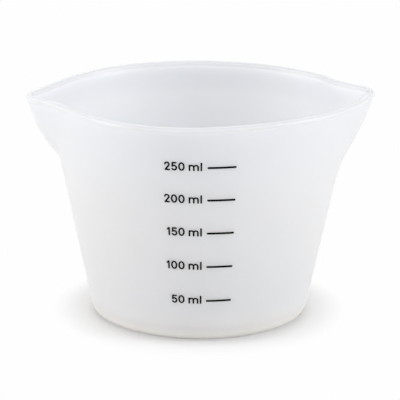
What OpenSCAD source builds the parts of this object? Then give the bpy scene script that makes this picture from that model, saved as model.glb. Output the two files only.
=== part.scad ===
// Mixing cup for resin: one soft moulded shell with two pouring spouts and a printed scale.
// It stands on z = 0 with its centre on the Z axis. The spouts point along X and the scale faces -Y.

/* [Body] */
// Height from the foot to the top of the rim
cup_h = 70; // [64:0.5:84]
// Diameter that the straight wall would have at the height of the rim
rim_d = 96; // [88:0.5:106]
// Diameter that the straight wall would have at the foot
base_d = 67.4; // [58:0.2:78]
// How far the wall draws in from its straight line as it nears the rim
rim_tuck = 0.4; // [0:0.1:1]
// Thickness of the wall
wall = 1.8; // [1.4:0.1:2.4]
// Thickness of the floor
floor_t = 3.2; // [2:0.1:5]
// Radius of the rounded edge round the foot
foot_r = 3; // [1:0.25:5]
// Radius inside, where the floor turns up into the wall
heel_r = 5; // [2:0.5:8]

/* [Rim bead] */
// Height of the bead's upright band, below its half-round lip
bead_band = 0.2; // [0.1:0.1:3]
// How far the bead stands out of each side of the wall
bead_out = 0.25; // [0.1:0.05:0.5]
// Height over which the bead runs out into the wall
bead_fade = 0.7; // [0.3:0.1:2]

/* [Pouring spouts] */
// How far each spout tip stands out from the round rim
spout_reach = 7.3; // [4:0.1:12]
// Radius of the nose at the spout tip, seen from above
nose_r = 8; // [2.8:0.1:12]
// Height of the spout, from the end of its keel up to the rim
spout_depth = 22.5; // [14:0.5:34]
// Curve of the keel: 1 is a straight line, and higher values are fuller under the tip
keel_curve = 1.9; // [1.4:0.1:3]

/* [Printed scale] */
// Distance from the rim down to the middle of the highest line
line_drop = 12.4; // [7:0.1:16]
// Distance from the highest line down to the next one
line_step = 10.4; // [9:0.1:11]
// How much longer each further step down is than the one above it
step_growth = 0.35; // [0:0.05:0.5]
// Length of the highest line
top_line_len = 8.5; // [6:0.1:14]
// Length of the lowest line
low_line_len = 7.5; // [5:0.1:12]
// Height of the ink line
line_w = 0.66; // [0.4:0.02:1.2]
// Thickness of the ink
ink_t = 0.15; // [0.08:0.01:0.3]
// Clearance between the ink and the wall under it
ink_gap = 0.02; // [0.01:0.01:0.05]
// Turn of the whole print round the cup, from the middle of the front
print_turn = -5.5; // [-20:0.1:20]
// Angle from the middle of the print to the start of every line
line_start = 2.9; // [0:0.1:12]

/* [Fineness] */
// Points in the outline of each level
outline_n = 104; // [72:8:136]
// Share of the outline's points that is gathered towards the two spouts
gather = 0.55; // [0:0.05:0.7]

/* [Hidden] */
$fn = 64;
line_count = 5;
ml_per_line = 50;
// Segments in a full turn of the ink's skin, so many that its chords keep clear of the wall
skin_fn = 360;
silicone_colour = "#e6eaee";
ink_colour = "#1d1918";

// The cone of the wall
draft = atan((rim_d - base_d) / 2 / cup_h);
wall_across = wall / cos(draft);
tuck_power = 6;

// Radius of the round wall's outside at a height
function wall_r(z) = base_d / 2 + z * tan(draft) - rim_tuck * pow(max(z, 0) / cup_h, tuck_power);

// How far the keel of the spout stands out from the round wall at a height
function keel(z) =
    spout_reach * (1 - pow(min(max(cup_h - z, 0) / spout_depth, 1), keel_curve));

// A level is [height, radius of the round wall, reach of the spout tip, nose radius]
function outside(z, out) = [z, wall_r(z) + out, wall_r(z) + keel(z) + out, nose_r + out];
function inside(z, out) = outside(z, -wall_across - out);

// Half the angle that the spout takes up on the level's circle: its flanks leave the circle as tangents
function spout_half(level) = acos(min(1, (level[1] - level[3]) / (level[2] - level[3])));

// Radius of the level's outline at an angle t from the spout's axis, in the sequence nose, flank and circle
function outline_r(level, t) =
    let (half = spout_half(level),
         centre = level[2] - level[3],
         nose_end = atan2(level[3] * sin(half), centre + level[3] * cos(half)))
    t >= half ? level[1]
    : t >= nose_end ? level[1] / cos(half - t)
    : centre * cos(t) + sqrt(max(0, pow(level[3], 2) - pow(centre * sin(t), 2)));

// Angle of each outline point, with the points closer together near both spouts
function outline_angle(i) =
    let (even = 360 * i / outline_n)
    even - gather * sin(2 * even) * 90 / PI;

// Angle of a direction from the nearer spout's axis
function from_spout(angle) =
    let (turn = angle % 180)
    min(turn, 180 - turn);

function ring(level) = [
    for (i = [0 : outline_n - 1])
        let (angle = outline_angle(i), r = outline_r(level, from_spout(angle)))
        [r * cos(angle), r * sin(angle), level[0]]
];

// The foot and the heel are arcs tangent to the level floor and to the sloping wall
foot_steps = 4;
heel_steps = 4;
function arc_level(floor_z, side_r, r, angle) =
    let (middle = side_r + r * tan(draft) - r / cos(draft))
    [floor_z + r + r * sin(angle), middle + r * cos(angle), middle + r * cos(angle), nose_r];
foot_levels = [
    for (i = [0 : foot_steps])
        arc_level(0, wall_r(0), foot_r, -90 + (90 - draft) * i / foot_steps)
];
heel_levels = [
    for (i = [heel_steps : -1 : 0])
        arc_level(floor_t, inside(floor_t, 0)[1], heel_r, -90 + (90 - draft) * i / heel_steps)
];

// The bead swells out of the wall and ends in a half-round lip
lip_r = wall_across / 2 + bead_out;
lip_z = cup_h - lip_r;
bead_end_z = lip_z - bead_band - bead_fade;

// Heights of the levels between the foot and the bead, closest together where the keels leave the wall
plain_steps = 2;
keel_steps = 9;
keel_spread = 1.6;
keel_end_z = cup_h - spout_depth;
function wall_heights(start_z) = concat(
    [for (i = [1 : plain_steps]) start_z + (keel_end_z - start_z) * i / plain_steps],
    [for (i = [1 : keel_steps]) keel_end_z + (bead_end_z - keel_end_z) * pow(i / keel_steps, keel_spread)]
);
outer_heights = wall_heights(foot_levels[foot_steps][0]);
inner_heights = wall_heights(heel_levels[0][0]);

// Levels of the bead's S-curve and of its lip
fade_steps = 2;
lip_steps = 6;
function swell(share) = bead_out * share * share * (3 - 2 * share);
function fade_z(share) = bead_end_z + bead_fade * share;
fade_shares = [for (i = [1 : fade_steps]) i / fade_steps];
fade_out = [for (share = fade_shares) outside(fade_z(share), swell(share))];
fade_in = [for (k = [fade_steps - 1 : -1 : 0]) inside(fade_z(fade_shares[k]), swell(fade_shares[k]))];
lip = [
    for (i = [0 : lip_steps])
        let (angle = 180 * i / lip_steps, level = outside(lip_z, -wall_across / 2 + lip_r * cos(angle)))
        [lip_z + lip_r * sin(angle), level[1], level[2], level[3]]
];

// All levels in order: up the outside, over the lip and down the inside
levels = concat(
    foot_levels,
    [for (z = outer_heights) outside(z, 0)],
    fade_out,
    lip,
    fade_in,
    [for (k = [len(inner_heights) - 1 : -1 : 0]) inside(inner_heights[k], 0)],
    heel_levels
);

function band(k) = [
    for (i = [0 : outline_n - 1])
        let (next = (i + 1) % outline_n, low = k * outline_n, high = (k + 1) * outline_n)
        each [[low + i, high + next, low + next], [low + i, high + i, high + next]]
];

// Height of a scale line, counted down from the rim
function line_z(index) =
    cup_h - line_drop - index * line_step - step_growth * index * (index - 1) / 2;
function line_len(index) = top_line_len + (low_line_len - top_line_len) * index / (line_count - 1);

module cup() {
    last = len(levels) - 1;
    color(silicone_colour)
        polyhedron(
            points = [for (level = levels) each ring(level)],
            faces = concat(
                [[for (i = [0 : outline_n - 1]) i]],
                [for (k = [0 : last - 1]) each band(k)],
                [[for (i = [outline_n - 1 : -1 : 0]) last * outline_n + i]]
            )
        );
}

// A bar with round ends, in the plane of its length and height
module bar_face(length) {
    translate([0, -line_w / 2])
        square([length, line_w]);
    circle(d = line_w);
    translate([length, 0])
        circle(d = line_w);
}

// One line of ink: a bar-shaped cut out of a thin skin that follows the wall
module scale_line(index) {
    z = line_z(index);
    length = line_len(index) - line_w;
    r = wall_r(z);
    half_turn = length / 2 / r * 180 / PI;
    skin_h = line_w;
    low_r = wall_r(z - skin_h) + ink_gap;
    high_r = wall_r(z + skin_h) + ink_gap;
    sweep = line_len(index) / r * 180 / PI + line_start;
    color(ink_colour)
        rotate([0, 0, -90 + print_turn + line_start + half_turn])
            intersection() {
                rotate([0, 0, -sweep])
                    rotate_extrude(angle = 2 * sweep, $fn = skin_fn)
                        polygon([
                            [low_r, z - skin_h],
                            [low_r + ink_t, z - skin_h],
                            [high_r + ink_t, z + skin_h],
                            [high_r, z + skin_h]
                        ]);
                translate([r / 2, 0, z])
                    rotate([90, 0, 90])
                        translate([-length / 2, 0, 0])
                            linear_extrude(height = r)
                                bar_face(length);
            }
}

cup();
for (index = [0 : line_count - 1])
    scale_line(index);
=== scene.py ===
import bpy
import math
from mathutils import Matrix, Vector


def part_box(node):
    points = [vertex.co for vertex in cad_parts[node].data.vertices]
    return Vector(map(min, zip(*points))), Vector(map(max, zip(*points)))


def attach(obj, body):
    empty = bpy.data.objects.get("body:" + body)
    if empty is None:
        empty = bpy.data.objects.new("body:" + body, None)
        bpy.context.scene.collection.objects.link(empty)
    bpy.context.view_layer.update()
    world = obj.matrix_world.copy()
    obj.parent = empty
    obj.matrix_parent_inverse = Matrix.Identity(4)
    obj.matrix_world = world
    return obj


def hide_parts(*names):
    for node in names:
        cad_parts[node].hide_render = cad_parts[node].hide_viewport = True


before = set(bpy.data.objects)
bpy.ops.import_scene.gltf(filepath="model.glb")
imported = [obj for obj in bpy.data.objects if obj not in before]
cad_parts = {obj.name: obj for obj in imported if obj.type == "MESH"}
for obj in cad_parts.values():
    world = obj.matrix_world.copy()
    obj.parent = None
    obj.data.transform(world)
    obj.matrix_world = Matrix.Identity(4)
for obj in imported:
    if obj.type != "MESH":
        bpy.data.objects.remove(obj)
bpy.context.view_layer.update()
mm = 0.001
print("loaded the frame with", len(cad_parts), "nodes")


# Helpers

def linearColour(hexColour):  # sRGB hex to linear red, green, blue and a full alpha
    channels = [int(hexColour[i:i + 2], 16) / 255 for i in (1, 3, 5)]
    return [c / 12.92 if c <= 0.04045 else ((c + 0.055) / 1.055) ** 2.4 for c in channels] + [1]


def smooth(share):  # a share from 0 to 1, eased into an S-curve
    return share * share * (3 - 2 * share)


def sharesOf(count):  # the end of each of so many even steps, as a share of them all
    return [i / count for i in range(1, count + 1)]


def direction(around, up):  # degrees round the cup from straight ahead, degrees above level
    around, up = math.radians(around), math.radians(up)
    return Vector((math.sin(around) * math.cos(up), -math.cos(around) * math.cos(up), math.sin(up)))


def addNode(tree, kind, inputs=None, **settings):  # sockets in inputs are linked, other values are set
    node = tree.nodes.new(kind)
    for name, value in settings.items():
        setattr(node, name, value)
    for name, value in (inputs or {}).items():
        if isinstance(value, bpy.types.NodeSocket):
            tree.links.new(value, node.inputs[name])
        else:
            node.inputs[name].default_value = value
    return node


def newMaterial(name):
    material = bpy.data.materials.new(name)
    material.use_nodes = True
    material.node_tree.nodes.clear()
    return material, material.node_tree


def addPiece(name, points, faces, material):
    mesh = bpy.data.meshes.new(name)
    mesh.from_pydata(points, [], faces)
    mesh.validate()
    mesh.polygons.foreach_set("use_smooth", [True] * len(mesh.polygons))
    mesh.materials.append(material)
    piece = bpy.data.objects.new(name, mesh)
    bpy.context.scene.collection.objects.link(piece)
    return piece


# The camera stands where the picture was taken, a long lens slightly above the rim

viewPoint = {
    "azimuth": -5.45,       # degrees round the cup from straight ahead
    "elevation": 15.96,     # degrees above the table
    "roll": 0.39,           # degrees
    "distance": 627.8,      # mm
    "aimHeight": 35.02,     # mm above the table
    "aimRight": 0.08,       # mm to the right of the cup's axis
    "focalLength": 179.2,   # mm
    "sensorWidth": 36,      # mm
    "clip": (0.01, 20),     # metres, the nearest and the furthest that it sees
}


def makeCamera():
    back = direction(viewPoint["azimuth"], viewPoint["elevation"])
    azimuth, roll = math.radians(viewPoint["azimuth"]), math.radians(viewPoint["roll"])
    right = Vector((math.cos(azimuth), math.sin(azimuth), 0))
    up = back.cross(right)
    aim = Vector((0, 0, viewPoint["aimHeight"])) + right * viewPoint["aimRight"]
    across = right * math.cos(roll) + up * math.sin(roll)
    upright = up * math.cos(roll) - right * math.sin(roll)
    data = bpy.data.cameras.new("camera")
    data.lens = viewPoint["focalLength"]
    data.sensor_width = viewPoint["sensorWidth"]
    data.clip_start, data.clip_end = viewPoint["clip"]
    camera = bpy.data.objects.new("camera", data)
    turn = Matrix((across, upright, back)).transposed().to_4x4()
    camera.matrix_world = Matrix.Translation((aim + back * viewPoint["distance"]) * mm) @ turn
    bpy.context.scene.collection.objects.link(camera)
    bpy.context.scene.camera = camera


makeCamera()
print("camera placed")


# The cup: one soft moulded shell, lofted through level rings

cup = {
    "footDiameter": 67.4,   # mm, where the straight wall would meet the table
    "wall": 1.8,            # mm
    "floor": 3.2,           # mm
    "footEdge": 3.0,        # mm, radius of the rounded edge round the foot
    "heel": 5.0,            # mm, radius inside, where the floor turns up
    "beadOut": 0.25,        # mm that the bead stands out of each side of the wall
    "beadBand": 0.2,        # mm, its upright band, below the half-round lip
    "beadFade": 0.7,        # mm of height over which it runs out into the wall outside
    "ledge": 0.42,          # mm that a soft ledge inside stands further in than the bead
    "ledgeHeight": 1.1,     # mm from the lip's half round down to where the ledge is whole
    "ledgeFade": 8.0,       # mm of height over which it runs out into the wall
    "rimTuck": 0.4,         # mm that the wall draws in at the rim
    "tuckPower": 6,         # a higher power keeps that closer to the rim
}

# The two spouts are alike in the mould, but the cup is soft, so each stands a little differently
# Axis and turn are degrees round the cup, reach and depth are mm, and a keel of curve 1 is straight
# A flank's two numbers are mm at the rim: how much fuller it is, and how much it flares near the tip
spouts = {
    "left": {"axis": 180, "turn": -1.3, "reach": 6.3, "depth": 19.8, "curve": 2.27,
             "front": (-0.6, -0.52), "back": (0.09, -0.02)},
    "right": {"axis": 0, "turn": 0.7, "reach": 7.25, "depth": 26.1, "curve": 1.52,
              "front": (1.24, 0.29), "back": (-0.61, -1.23)},
    "nose": 8.0,            # mm, radius of the tip, seen from above
    "flank": 40,            # degrees from the tip to where a flank has joined the round wall
}

# Soft walls are never quite round: the front of the rim waves in and out, and the wave dies away below
slack = {
    "wave": 1.43,           # mm at the rim
    "count": 4,             # waves in a full turn
    "flat": 0.25,           # share of the wave that the middle of the front draws in as well
    "fade": 6,              # a higher power keeps the wave whole closer to the spouts
    "rise": 6,              # a higher power keeps it closer to the rim
}

# How finely the shell is cut: its columns, and the steps in each stretch of its section
fineness = {
    "columns": 432,
    "gather": 0.78,         # how strongly the columns crowd towards the spouts, from 0 to 1
    "flat": 8,              # the floor, inside and underneath
    "corner": 10,           # the foot's edge and the heel
    "plain": 14,            # the wall below the spouts
    "keel": 44,             # the wall beside the spouts
    "swell": 6,             # the bead outside and the ledge inside, as they stand out
    "lip": 22,
    "ledgeFade": 12,
}

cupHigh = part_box("cup")[1]   # metres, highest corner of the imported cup
cupHeight = cupHigh.z / mm


def fitWall():  # slope of the wall from the foot to the lip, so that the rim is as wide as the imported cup's
    slope = 0
    for _ in range(4):   # the slope and the lip's height depend on each other, and settle in four passes
        height = cupHeight - cup["wall"] / math.cos(slope) / 2 - cup["beadOut"]
        rim = cupHigh.y / mm - cup["beadOut"] + cup["rimTuck"] * (height / cupHeight) ** cup["tuckPower"]
        slope = math.atan((rim - cup["footDiameter"] / 2) / height)
    return slope


draft = fitWall()
wallAcross = cup["wall"] / math.cos(draft)
lipRadius = wallAcross / 2 + cup["beadOut"]
lipZ = cupHeight - lipRadius


def wallRadius(z):
    share = max(z, 0) / cupHeight
    return cup["footDiameter"] / 2 + z * math.tan(draft) - cup["rimTuck"] * share ** cup["tuckPower"]


def outlineRadius(body, tip, nose, angle):
    # A level's outline is a nose arc, a straight flank and the round body, each tangent to the next
    half = math.acos(min(1, (body - nose) / (tip - nose)))
    middle = tip - nose
    noseEnd = math.atan2(nose * math.sin(half), middle + nose * math.cos(half))
    if angle >= half:
        return body
    if angle >= noseEnd:
        return body / math.cos(half - angle)
    return middle * math.cos(angle) + math.sqrt(max(0, nose ** 2 - (middle * math.sin(angle)) ** 2))


def frontWave(azimuth):  # mm that the rim stands further in
    front = (azimuth + math.pi / 2) % (2 * math.pi)   # radians from the middle of the front, -pi to pi
    front = front - 2 * math.pi if front > math.pi else front
    towardsSpout = min(abs(front) / (math.pi / 2), 1)
    if towardsSpout == 1:
        return 0
    wave = math.sin(slack["count"] * front) * (1 - towardsSpout ** slack["fade"])
    return slack["wave"] * (wave + slack["flat"] * math.cos(front) ** 2)


def softRadius(azimuth, z, out):  # azimuth in radians, out is the distance outside the wall's outer face
    spout = spouts["left"] if math.cos(azimuth) < 0 else spouts["right"]
    turn = azimuth - math.radians(spout["axis"] + spout["turn"])
    turn = (turn + math.pi) % (2 * math.pi) - math.pi
    towardsBack = (turn < 0) == (spout["axis"] == 180)
    fuller, flare = spout["back"] if towardsBack else spout["front"]
    share = 1 - min(max(cupHeight - z, 0) / spout["depth"], 1) ** spout["curve"]
    body = wallRadius(z) + out
    radius = outlineRadius(body, body + spout["reach"] * share, spouts["nose"] + out, abs(turn))
    across = min(math.degrees(abs(turn)) / spouts["flank"], 1)
    swell = math.sin(math.pi * across)
    radius += share * swell * (fuller * swell + flare * math.sin(2 * math.pi * across))
    return radius - frontWave(azimuth) * (max(z, 0) / cupHeight) ** slack["rise"]


def roundTheCup():  # azimuth of each column of the loft, closer together towards the spouts
    evenly = [2 * math.pi * i / fineness["columns"] for i in range(fineness["columns"])]
    return [even - fineness["gather"] * math.sin(2 * even) / 2 for even in evenly]


columnAzimuths = roundTheCup()


def ringAt(z, radiusAt):
    ring = []
    for azimuth in columnAzimuths:
        radius = radiusAt(azimuth)
        ring.append((radius * math.cos(azimuth) * mm, radius * math.sin(azimuth) * mm, z * mm))
    return ring


def softRing(z, out, outlineZ=None):  # the lip's rings keep the outline of its widest level
    return ringAt(z, lambda azimuth: softRadius(azimuth, z if outlineZ is None else outlineZ, out))


def plainRing(z, radius):
    return ringAt(z, lambda azimuth: radius)


def flatRings(z, edge):  # a flat floor, from round its middle out to its edge ring
    radius = math.hypot(edge[0][0], edge[0][1]) / mm
    steps = fineness["flat"]
    return [plainRing(z, radius * i / steps) for i in range(1, steps)]


def cornerRings(floorZ, sideRadius, radius):  # a floor that turns up into the sloping wall
    middle = sideRadius + radius * math.tan(draft) - radius / math.cos(draft)
    steps = fineness["corner"]
    rings = []
    for i in range(steps + 1):
        angle = -math.pi / 2 + (math.pi / 2 - draft) * i / steps
        rings.append(plainRing(floorZ + radius * (1 + math.sin(angle)), middle + radius * math.cos(angle)))
    return rings


def wallHeights(corner, top):  # levels from a rounded corner up, closer together beside the spouts
    start = corner[-1][0][2] / mm
    keelEnd = cupHeight - max(spouts["left"]["depth"], spouts["right"]["depth"])
    plain, keel = fineness["plain"], fineness["keel"]
    heights = [start + (keelEnd - start) * i / plain for i in range(1, plain + 1)]
    return heights + [keelEnd + (top - keelEnd) * i / keel for i in range(1, keel + 1)]


def outsideRings():  # from the middle of the foot out and up to the lip
    foot = cornerRings(0, wallRadius(0), cup["footEdge"])
    beadEnd = lipZ - cup["beadBand"] - cup["beadFade"]
    rings = flatRings(0, foot[0]) + foot
    rings += [softRing(z, 0) for z in wallHeights(foot, beadEnd)]
    for share in sharesOf(fineness["swell"]):   # the bead swells out of the wall in an S-curve
        rings.append(softRing(beadEnd + cup["beadFade"] * share, cup["beadOut"] * smooth(share)))
    return rings


def lipRings():  # a half round, from the outside over the top to the inside
    rings = []
    for i in range(fineness["lip"] + 1):
        angle = math.pi * i / fineness["lip"]
        z, out = lipZ + lipRadius * math.sin(angle), lipRadius * math.cos(angle) - wallAcross / 2
        rings.append(softRing(z, out, lipZ))
    return rings


def insideRings():  # down over the ledge and the wall to the middle of the floor
    heel = cornerRings(cup["floor"], wallRadius(cup["floor"]) - wallAcross, cup["heel"])
    ledgeZ = lipZ - cup["ledgeHeight"]
    rings = []
    for share in sharesOf(fineness["swell"]):
        out = -wallAcross - cup["beadOut"] - cup["ledge"] * smooth(share)
        rings.append(softRing(lipZ - cup["ledgeHeight"] * share, out))
    for share in sharesOf(fineness["ledgeFade"]):
        out = -wallAcross - (cup["beadOut"] + cup["ledge"]) * (1 - smooth(share))
        rings.append(softRing(ledgeZ - cup["ledgeFade"] * share, out))
    heights = wallHeights(heel, ledgeZ - cup["ledgeFade"])[:-1]   # the ledge ends at the last of them
    rings += [softRing(z, -wallAcross) for z in reversed(heights)]
    rings += reversed(heel)
    rings += reversed(flatRings(cup["floor"], heel[0]))
    return rings


def makeCup(material):
    rings = outsideRings() + lipRings() + insideRings()
    columns = fineness["columns"]
    points = [point for ring in rings for point in ring]
    last = len(points) - columns
    faces = []
    for low in range(0, last, columns):
        high = low + columns
        for i in range(columns):
            j = (i + 1) % columns
            faces.append((low + i, low + j, high + j, high + i))
    under, inside = len(points), len(points) + 1   # the middles of the foot and of the floor
    points += [(0, 0, 0), (0, 0, cup["floor"] * mm)]
    for i in range(columns):
        j = (i + 1) % columns
        faces.append((under, j, i))
        faces.append((inside, last + i, last + j))
    piece = addPiece("cup_shell", points, faces, material)
    heights = [ring[0][2] / mm for ring in rings]
    top = heights.index(max(heights))
    # The silicone reads its tone from the attribute tint
    tints = [bluerShare(z, k > top) for k, z in enumerate(heights) for _ in range(columns)] + [0, 1]
    piece.data.attributes.new("tint", "FLOAT", "POINT").data.foreach_set("value", tints)
    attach(piece, "root")
    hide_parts("cup")


# Cloudy silicone, moulded in one shot against a satin mould
# To the eye it is milky and soft-edged: light soaks in and comes out again, thin walls glow,
# the thick floor goes warmer, and the skin has a low satin sheen

silicone = {
    "colour": "#e7e6e6",
    "topColour": "#e4e7ed",             # inside and at the rim, where more bluish scattered light is seen
    "topBlend": (36.0, 74.0),           # mm above the table between which the outside takes that tone
    "thickTintAndPaintedLightColour": "#f0eeea",           # where the floor is thick: warmer, as thick silicone is, and painted lighter, which is painted light
    "thickFrom": 0.4,                   # share of the floor's thickness up to which that tone is whole
    "thickTop": 5.0,                    # mm above the table where it has faded out
    "lipShadeColour": "#d9dbdf",             # painted shade: the lip is painted greyer, for the light that leaves through its top
    "lipShadeBlend": (68.3, 68.9),           # mm above the table between which that tone comes in
    "shoulderColour": "#cfd1d7",        # painted shade: a darker stripe along each shoulder of the lip
    "shoulder": (69.4, 69.65, 69.8, 69.97),   # mm above the table: begins, is whole, fades, is gone
    "cloudSize": 22.0,                  # mm across the faint clouds in the milk
    "cloudDetail": 2.0,                 # octaves
    "cloudDepth": 0.012,                # how much a cloud changes the colour
    "scatter": 8.0,                     # mm that red light travels inside
    "scatterTint": (1.0, 0.95, 0.9),    # how far red, green and blue travel, as shares of that
    "footScatter": 1.0,                 # mm, the same in the thick floor, which is milkier to the eye
    "footScatterBlend": (3.6, 9.0),     # mm above the table between which the one turns into the other
    "ior": 1.41,
    "roughness": 0.28,
    "specular": 0.5,                    # where the skin is seen straight on
    "edgeSpecular": 0.0,                # where it is seen edge-on
    "glossBlend": (0.3, 0.8),           # where the one turns into the other: 0 is straight on, 1 is edge-on
    "grainSize": 0.35,                  # mm, coarser than the mould's real 0.05 mm grain, so that it shows
    "grainDetail": 3.0,                 # octaves
    "grainDepth": 0.0004,               # mm
    "veil": "#fcfcfc",                  # a thin dull skin that takes a little light, most where seen edge-on
    "veilIor": 1.03,
    "veilRoughness": 0.5,
}

noiseSpan = (0.3, 0.7)   # where nearly all values of a noise texture lie


def bluerShare(z, inside):   # how much of the top's tone a level takes
    low, high = silicone["topBlend"]
    return 1.0 if inside else smooth(min(max((z - low) / (high - low), 0), 1))


def siliconeColour(tree, place, level):
    tint = addNode(tree, "ShaderNodeAttribute", attribute_name="tint")
    wallTone = addNode(tree, "ShaderNodeMix", {
        "Factor": tint.outputs["Fac"], "A": linearColour(silicone["colour"]),
        "B": linearColour(silicone["topColour"])}, data_type="RGBA")
    thick = addNode(tree, "ShaderNodeMapRange", {
        "Value": level, "From Min": cup["floor"] * mm * silicone["thickFrom"],
        "From Max": silicone["thickTop"] * mm, "To Min": 1.0, "To Max": 0.0},
        interpolation_type="SMOOTHSTEP")
    # Where the floor is thick the colour is warmer, as thick silicone is, and lighter, which is painted light
    thickTintAndPaintedLightTone = addNode(tree, "ShaderNodeMix", {
        "Factor": thick.outputs["Result"], "A": wallTone.outputs[2],
        "B": linearColour(silicone["thickTintAndPaintedLightColour"])}, data_type="RGBA")
    # Painted shade: the lip is painted greyer than the wall
    lipFrom, lipTo = silicone["lipShadeBlend"]
    lip = addNode(tree, "ShaderNodeMapRange", {
        "Value": level, "From Min": lipFrom * mm, "From Max": lipTo * mm}, interpolation_type="SMOOTHSTEP")
    lipShadeTone = addNode(tree, "ShaderNodeMix", {
        "Factor": lip.outputs["Result"], "A": thickTintAndPaintedLightTone.outputs[2],
        "B": linearColour(silicone["lipShadeColour"])}, data_type="RGBA")
    # Painted shade: a darker stripe along each shoulder of the lip
    begins, whole, fades, gone = (z * mm for z in silicone["shoulder"])
    rising = addNode(tree, "ShaderNodeMapRange", {
        "Value": level, "From Min": begins, "From Max": whole}, interpolation_type="SMOOTHSTEP")
    falling = addNode(tree, "ShaderNodeMapRange", {
        "Value": level, "From Min": gone, "From Max": fades}, interpolation_type="SMOOTHSTEP")
    shadeStripe = addNode(tree, "ShaderNodeMath", {
        0: rising.outputs["Result"], 1: falling.outputs["Result"]}, operation="MULTIPLY")
    shoulderShadeTone = addNode(tree, "ShaderNodeMix", {
        "Factor": shadeStripe.outputs[0], "A": lipShadeTone.outputs[2],
        "B": linearColour(silicone["shoulderColour"])}, data_type="RGBA")
    cloud = addNode(tree, "ShaderNodeTexNoise", {
        "Vector": place, "Scale": 1 / (silicone["cloudSize"] * mm), "Detail": silicone["cloudDetail"]})
    cloudy = addNode(tree, "ShaderNodeMapRange", {
        "Value": cloud.outputs["Fac"], "From Min": noiseSpan[0], "From Max": noiseSpan[1],
        "To Min": 1 - silicone["cloudDepth"], "To Max": 1 + silicone["cloudDepth"]})
    colour = addNode(tree, "ShaderNodeVectorMath", {
        0: shoulderShadeTone.outputs[2], 1: cloudy.outputs["Result"]}, operation="MULTIPLY")
    return colour.outputs["Vector"]


def siliconeMaterial():
    material, tree = newMaterial("moulded silicone")
    place = addNode(tree, "ShaderNodeTexCoord").outputs["Object"]
    level = addNode(tree, "ShaderNodeSeparateXYZ", {"Vector": place}).outputs["Z"]
    scatterFrom, scatterTo = silicone["footScatterBlend"]
    scatter = addNode(tree, "ShaderNodeMapRange", {
        "Value": level, "From Min": scatterFrom * mm, "From Max": scatterTo * mm,
        "To Min": silicone["footScatter"] * mm, "To Max": silicone["scatter"] * mm},
        interpolation_type="SMOOTHSTEP")
    grain = addNode(tree, "ShaderNodeTexNoise", {
        "Vector": place, "Scale": 1 / (silicone["grainSize"] * mm), "Detail": silicone["grainDetail"]})
    bump = addNode(tree, "ShaderNodeBump", {
        "Height": grain.outputs["Fac"], "Distance": silicone["grainDepth"] * mm, "Strength": 1.0})
    edge = addNode(tree, "ShaderNodeLayerWeight")
    glossFrom, glossTo = silicone["glossBlend"]
    gloss = addNode(tree, "ShaderNodeMapRange", {
        "Value": edge.outputs["Facing"], "From Min": glossFrom, "From Max": glossTo,
        "To Min": silicone["specular"], "To Max": silicone["edgeSpecular"]})
    shader = addNode(tree, "ShaderNodeBsdfPrincipled", {
        "Base Color": siliconeColour(tree, place, level), "Normal": bump.outputs["Normal"],
        "Roughness": silicone["roughness"], "IOR": silicone["ior"],
        "Specular IOR Level": gloss.outputs["Result"],
        "Coat Weight": 1.0, "Coat Roughness": silicone["veilRoughness"], "Coat IOR": silicone["veilIor"],
        "Coat Tint": linearColour(silicone["veil"]),
        "Subsurface Weight": 1.0, "Subsurface Scale": scatter.outputs["Result"],
        "Subsurface Radius": silicone["scatterTint"]})
    addNode(tree, "ShaderNodeOutputMaterial", {"Surface": shader.outputs["BSDF"]})
    return material


makeCup(siliconeMaterial())
print("cup lofted")


# The scale: five bars and their numbers, printed on the wall

scale = {
    "top": 250,                 # ml at the highest line
    "step": 50,                 # ml from one line to the next
    "count": 5,
    "turn": -5.5,               # degrees round the cup from straight ahead to the middle of the print
    "lineStart": 2.9,           # degrees from there to where the bars begin
    "topDrop": 12.4,            # mm from the rim down to the highest line
    "dropStep": 10.4,           # mm from there down to the next
    "stepGrowth": 0.35,         # mm that each further step is longer than the one above it
    "length": (8.7, 7.7),       # mm, the highest and the lowest bar
    "shift": (-0.05, 0.2),      # mm that these two lines stand further to the right
    "gap": (1.6, 1.35),         # mm between the writing and its bar, for the same two
    "lineWidth": 0.66,          # mm
    "film": 0.06,               # mm, thickness of the ink
    "sunk": 0.03,               # mm that the film's underside reaches into the wall
    "fullness": 0.6,            # of the film's cross section: 1 is a half ellipse, and less is boxier
}

# The writing beside the bars, in plain round strokes
writing = {
    "stroke": 0.51,             # mm, width of a stroke
    "size": 0.96,               # of the signs below
    "baseline": -0.75,          # mm from the bar's middle to the middle of the lowest strokes
    "lean": -0.5,               # degrees that the writing rises from left to right
    "letterGap": 0.40,          # mm between two signs
    "oneGap": 0.52,             # mm between a 1 and the digit after it
    "wordGap": 1.25,            # mm between a number and its unit
    "unitGap": 0.52,            # mm inside the unit
    "arcStep": 9,               # degrees between the points of an arc
}

# Strokes of the signs, in mm from the baseline's left end: points, or arcs as
# (centre x, centre y, radius x, radius y, first angle, last angle)
signs = {
    "0": (1.87, [[(0.935, 1.4, 0.735, 1.2, 90, 450)]]),
    "1": (0.9, [[(0.2, 2.15), (0.7, 2.6)], [(0.7, 2.6), (0.7, 0.2)]]),
    "2": (1.68, [[(0.82, 1.98, 0.62, 0.62, 172, -38), (0.27, 0.2)], [(0.27, 0.2), (1.48, 0.2)]]),
    "5": (1.75, [[(1.45, 2.6), (0.42, 2.6)], [(0.42, 2.6), (0.34, 1.42)],
                 [(0.86, 0.94, 0.69, 0.74, 138, -148)]]),
    "m": (3.02, [[(0.2, 0.2), (0.2, 1.85)],
                 [(0.855, 1.22, 0.655, 0.63, 180, 0), (1.51, 0.2)],
                 [(2.165, 1.22, 0.655, 0.63, 180, 0), (2.82, 0.2)]]),
    "l": (0.42, [[(0.21, 0.2), (0.21, 2.6)]]),
}
signFoot = 0.2   # mm, height of the lowest strokes in this drawing


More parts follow.
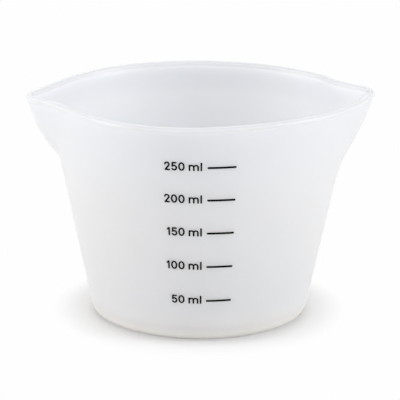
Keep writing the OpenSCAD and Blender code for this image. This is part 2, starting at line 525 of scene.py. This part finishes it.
def strokePath(stroke):  # the points of a stroke, with its arcs cut into short pieces
    path = []
    for part in stroke:
        if len(part) == 2:
            path.append(part)
            continue
        x, y, radiusX, radiusY, first, last = part
        steps = max(2, round(abs(last - first) / writing["arcStep"]))
        for i in range(steps + 1):
            angle = math.radians(first + (last - first) * i / steps)
            path.append((x + radiusX * math.cos(angle), y + radiusY * math.sin(angle)))
    return path


def numberStrokes(value, right):  # the writing ends at right, so it is laid out from its right end backwards
    layout = [("l", writing["unitGap"]), ("m", writing["wordGap"])]   # each with the gap to its left
    digits = str(value)
    for i, digit in reversed(list(enumerate(digits))):
        afterOne = i > 0 and digits[i - 1] == "1"
        layout.append((digit, writing["oneGap"] if afterOne else writing["letterGap"]))
    strokes, x, size = [], right, writing["size"]
    for sign, gap in layout:
        width, parts = signs[sign]
        x -= width * size
        for stroke in parts:
            strokes.append([(alongX * size + x, upY * size) for alongX, upY in strokePath(stroke)])
        x -= gap
    return strokes


def strokeSections(path, width):
    # Cross sections along a path: the place, the direction there and the share of the width, which shrinks
    # in the half-round ends. A path that comes back to its start is closed and has no ends
    cutStep, endSteps = 0.5, 5   # mm between two sections, and sections in each end
    tangents = []
    for i in range(len(path)):
        a, b = path[max(i - 1, 0)], path[min(i + 1, len(path) - 1)]
        tangents.append(Vector((b[0] - a[0], b[1] - a[1])).normalized())
    closed = (Vector(path[0]) - Vector(path[-1])).length < 1e-6   # mm
    if closed:
        path, tangents = path[:-1], tangents[:-1]
        tangents[0] = (Vector(path[1]) - Vector(path[-1])).normalized()
        return [(Vector(point), tangent, 1.0) for point, tangent in zip(path, tangents)], closed

    def roundEnd(point, tangent, ahead):
        end = []
        for i in range(1, endSteps + 1):
            angle = math.pi / 2 * i / (endSteps + 0.5)   # stops half a step short of the very tip
            offset = tangent * math.sin(angle) * width / 2
            end.append((Vector(point) + offset * ahead, tangent, math.cos(angle)))
        return end

    sections = roundEnd(path[0], tangents[0], -1)[::-1]
    for i in range(len(path) - 1):
        a, b = Vector(path[i]), Vector(path[i + 1])
        cuts = max(1, round((b - a).length / cutStep))
        for k in range(cuts):
            tangent = tangents[i].lerp(tangents[i + 1], k / cuts).normalized()
            sections.append((a.lerp(b, k / cuts), tangent, 1.0))
    sections.append((Vector(path[-1]), tangents[-1], 1.0))
    return sections + roundEnd(path[-1], tangents[-1], 1), closed


def onWall(x, y, z, start, out):  # x mm along and y mm up the wall from its start at z, out mm off it
    level = z + y * math.cos(draft)
    azimuth = start + x / wallRadius(z)
    radius = softRadius(azimuth, level, out)
    return (radius * math.cos(azimuth) * mm, radius * math.sin(azimuth) * mm, level * mm)


def inkStroke(path, width, z, start, points, faces):  # adds one low rounded film to the points and faces
    domeSteps = 8   # across the film's top
    angles = [math.pi * k / domeSteps for k in range(domeSteps + 1)]
    profile = [(math.cos(angle), math.sin(angle) ** scale["fullness"]) for angle in angles]
    around = len(profile) + 2   # points round one section, with two on its flat underside
    first = len(points)
    sections, closed = strokeSections(path, width)
    for centre, tangent, size in sections:
        side = Vector((-tangent.y, tangent.x)) * width / 2 * size
        for across, height in profile:
            at = centre + side * across
            points.append(onWall(at.x, at.y, z, start, scale["film"] * height * size ** 0.5))
        for across in (-1, 1):
            at = centre + side * across
            points.append(onWall(at.x, at.y, z, start, -scale["sunk"]))
    count = len(sections)
    for s in range(count if closed else count - 1):
        here, there = first + s * around, first + (s + 1) % count * around
        for k in range(around):
            n = (k + 1) % around
            faces.append((here + k, here + n, there + n, there + k))
    if not closed:
        faces.append(tuple(first + k for k in reversed(range(around))))
        faces.append(tuple(first + (count - 1) * around + k for k in range(around)))


def makePrint(name, paths, width, z, start, material):
    points, faces = [], []
    for path in paths:
        inkStroke(path, width, z, start, points, faces)
    piece = addPiece(name, points, faces, material)
    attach(piece, "root")
    return piece


# Silicone screen ink, printed and cured on the wall
# To the eye it is a flat warm black with soft edges and less sheen than the cup

ink = {
    "colour": "#14100f",
    "roughness": 0.75,
    "ior": 1.45,
    "specular": 0.1,        # the film is matt, so it reflects little
    "speckleSize": 0.3,     # mm between the faint unevennesses of the squeegeed film
    "speckleDetail": 2.0,   # octaves
    "speckle": 0.25,        # how much they change the colour
    "bump": 0.2,            # how high they are, as a share of the film's thickness
    "bumpStrength": 0.6,
}


def inkMaterial():
    material, tree = newMaterial("screen ink")
    place = addNode(tree, "ShaderNodeTexCoord").outputs["Object"]
    film = addNode(tree, "ShaderNodeTexNoise", {
        "Vector": place, "Scale": 1 / (ink["speckleSize"] * mm), "Detail": ink["speckleDetail"]})
    level = addNode(tree, "ShaderNodeMapRange", {
        "Value": film.outputs["Fac"], "From Min": noiseSpan[0], "From Max": noiseSpan[1],
        "To Min": 1 - ink["speckle"], "To Max": 1 + ink["speckle"]})
    tone = addNode(tree, "ShaderNodeVectorMath", {
        0: linearColour(ink["colour"])[:3], 1: level.outputs["Result"]}, operation="MULTIPLY")
    bump = addNode(tree, "ShaderNodeBump", {
        "Height": film.outputs["Fac"], "Distance": scale["film"] * mm * ink["bump"],
        "Strength": ink["bumpStrength"]})
    shader = addNode(tree, "ShaderNodeBsdfPrincipled", {
        "Base Color": tone.outputs["Vector"], "Normal": bump.outputs["Normal"],
        "Roughness": ink["roughness"], "IOR": ink["ior"], "Specular IOR Level": ink["specular"]})
    addNode(tree, "ShaderNodeOutputMaterial", {"Surface": shader.outputs["BSDF"]})
    return material


def makeScale(material):
    barsStart = math.radians(-90 + scale["turn"] + scale["lineStart"])
    rise = writing["baseline"] - signFoot * writing["size"]
    lean = math.tan(math.radians(writing["lean"]))
    half = scale["lineWidth"] / 2
    for i in range(scale["count"]):
        value = scale["top"] - scale["step"] * i
        z = cupHeight - scale["topDrop"] - i * scale["dropStep"] - scale["stepGrowth"] * i * (i - 1) / 2
        share = i / (scale["count"] - 1)
        length, shift, gap = (
            high + (low - high) * share for high, low in (scale["length"], scale["shift"], scale["gap"]))
        start = barsStart + shift / wallRadius(z)
        bar = makePrint(f"printed_line_{value}", [[(half, 0), (length - half, 0)]], 2 * half,
                        z, start, material)
        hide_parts(f"scale_line_{value}")
        paths = [[(x, y + rise + (x + gap) * lean) for x, y in path] for path in numberStrokes(value, -gap)]
        makePrint(f"printed_number_{value}", paths, writing["stroke"], z, start, material)


makeScale(inkMaterial())
print("scale printed")


# Matt white card under the cup, which runs on behind it
# To the eye it has no grain and takes a soft shadow. What the camera and the gloss see of it is lifted
# to white a little way out from the cup, so only the shadow round the foot shows

table = {
    "size": 6.0,              # metres across
    "below": 0.02,            # mm under the foot, so that the two don't share a plane
    "colour": "#f4f4f4",
    "shade": "#eaeaea",       # painted shadow: the card is painted darker close to the front of the foot, which deepens the contact shadow
    "white": "#fefefe",
    "roughness": 0.5,
    # Rings round the foot: mm that the middle lies in front of the cup's axis, mm from that middle to
    # where the change begins and to where it ends, and the share at the one and at the other
    "shadeFade": (3.0, 31.8, 36.8, 0.0, 1.0),    # where the painted shadow fades into the card's own colour
    "lifted": (0.8, 34.8, 47.8, 0.0, 1.0),   # how the white grows out of the shadow
    "glow": (0.8, 31.2, 33.2, 0.45, 0.0),    # light that comes through the cup, under the foot's edge
}


def seenDirectly(tree):  # 1 for what the camera sees, also in gloss and through clear things, otherwise 0
    path = addNode(tree, "ShaderNodeLightPath")
    gloss = addNode(tree, "ShaderNodeMath", {
        0: path.outputs["Is Camera Ray"], 1: path.outputs["Is Glossy Ray"]}, operation="MAXIMUM")
    either = addNode(tree, "ShaderNodeMath", {
        0: gloss.outputs[0], 1: path.outputs["Is Transmission Ray"]}, operation="MAXIMUM")
    return either.outputs[0]


def cardMaterial():
    material, tree = newMaterial("matt white card")
    place = addNode(tree, "ShaderNodeTexCoord").outputs["Object"]

    def ringed(front, start, end, low, high):
        away = addNode(tree, "ShaderNodeVectorMath", {0: place, 1: (0, -front * mm, 0)}, operation="DISTANCE")
        return addNode(tree, "ShaderNodeMapRange", {
            "Value": away.outputs["Value"], "From Min": start * mm, "From Max": end * mm,
            "To Min": low, "To Max": high}, interpolation_type="SMOOTHSTEP").outputs["Result"]

    # Painted shadow: the card is painted darker close to the front of the foot
    tone = addNode(tree, "ShaderNodeMix", {
        "Factor": ringed(*table["shadeFade"]), "A": linearColour(table["shade"]),
        "B": linearColour(table["colour"])}, data_type="RGBA")
    card = addNode(tree, "ShaderNodeBsdfDiffuse", {"Color": tone.outputs[2], "Roughness": table["roughness"]})
    white = addNode(tree, "ShaderNodeEmission", {"Color": linearColour(table["white"]), "Strength": 1.0})
    lift = addNode(tree, "ShaderNodeMath", {
        0: ringed(*table["lifted"]), 1: ringed(*table["glow"])}, operation="ADD")
    share = addNode(tree, "ShaderNodeMath", {0: seenDirectly(tree), 1: lift.outputs[0]}, operation="MULTIPLY")
    shown = addNode(tree, "ShaderNodeMixShader", {
        0: share.outputs[0], 1: card.outputs[0], 2: white.outputs[0]})
    addNode(tree, "ShaderNodeOutputMaterial", {"Surface": shown.outputs[0]})
    return material


def makeTable(material):
    half = table["size"] / 2
    points = [(-half, -half, 0), (half, -half, 0), (half, half, 0), (-half, half, 0)]
    piece = addPiece("table", points, [(0, 1, 2, 3)], material)
    piece.location.z = -table["below"] * mm


makeTable(cardMaterial())
print("table laid")


# Light: softboxes round the cup in a pale room

light = {
    "room": ("#ffffff", 0.692),   # colour and strength
    "softboxes": {   # degrees round the cup from straight ahead, degrees up, size in m, colour, brightness
        "right": (77, 24, (0.5, 0.9), "#fdfeff", 2.65),
        "left": (269, 22, (0.5, 0.9), "#fffcf9", 2.55),
        "backLeft": (237, 32, (0.25, 0.25), "#f4faff", 2.3),
        "back": (178, 29, (0.4, 0.3), "#f4faff", 0.9),
        "above": (0, 68, (0.5, 0.5), "#ffffff", 1.35),
    },
    "away": 1.0,     # metres from the cup to each softbox
    "aim": 35.0,     # mm above the table, where they all point
}


def makeSoftboxes():
    for name, (around, up, size, colour, brightness) in light["softboxes"].items():
        data = bpy.data.lights.new(name, "AREA")
        data.shape = "RECTANGLE"
        data.size, data.size_y = size
        data.color = linearColour(colour)[:3]
        data.energy = brightness * math.pi * size[0] * size[1]   # watts that give this brightness as seen
        towards = direction(around, up)
        lamp = bpy.data.objects.new(name, data)
        lamp.location = towards * light["away"] + Vector((0, 0, light["aim"] * mm))
        lamp.rotation_euler = towards.to_track_quat("Z", "Y").to_euler()
        lamp.visible_camera = False
        bpy.context.scene.collection.objects.link(lamp)


def makeRoom():  # lights the cup with its own colour, and shows the table's white to the camera and in gloss
    world = bpy.data.worlds.new("pale room")
    world.use_nodes = True
    tree = world.node_tree
    tree.nodes.clear()
    bpy.context.scene.world = world
    colour, strength = light["room"]
    room = addNode(tree, "ShaderNodeBackground", {"Color": linearColour(colour), "Strength": strength})
    white = addNode(tree, "ShaderNodeBackground", {"Color": linearColour(table["white"]), "Strength": 1.0})
    shown = addNode(tree, "ShaderNodeMixShader", {
        0: seenDirectly(tree), 1: room.outputs[0], 2: white.outputs[0]})
    addNode(tree, "ShaderNodeOutputWorld", {"Surface": shown.outputs[0]})


makeSoftboxes()
makeRoom()
bpy.context.scene.view_settings.view_transform = "Standard"
print("light set")
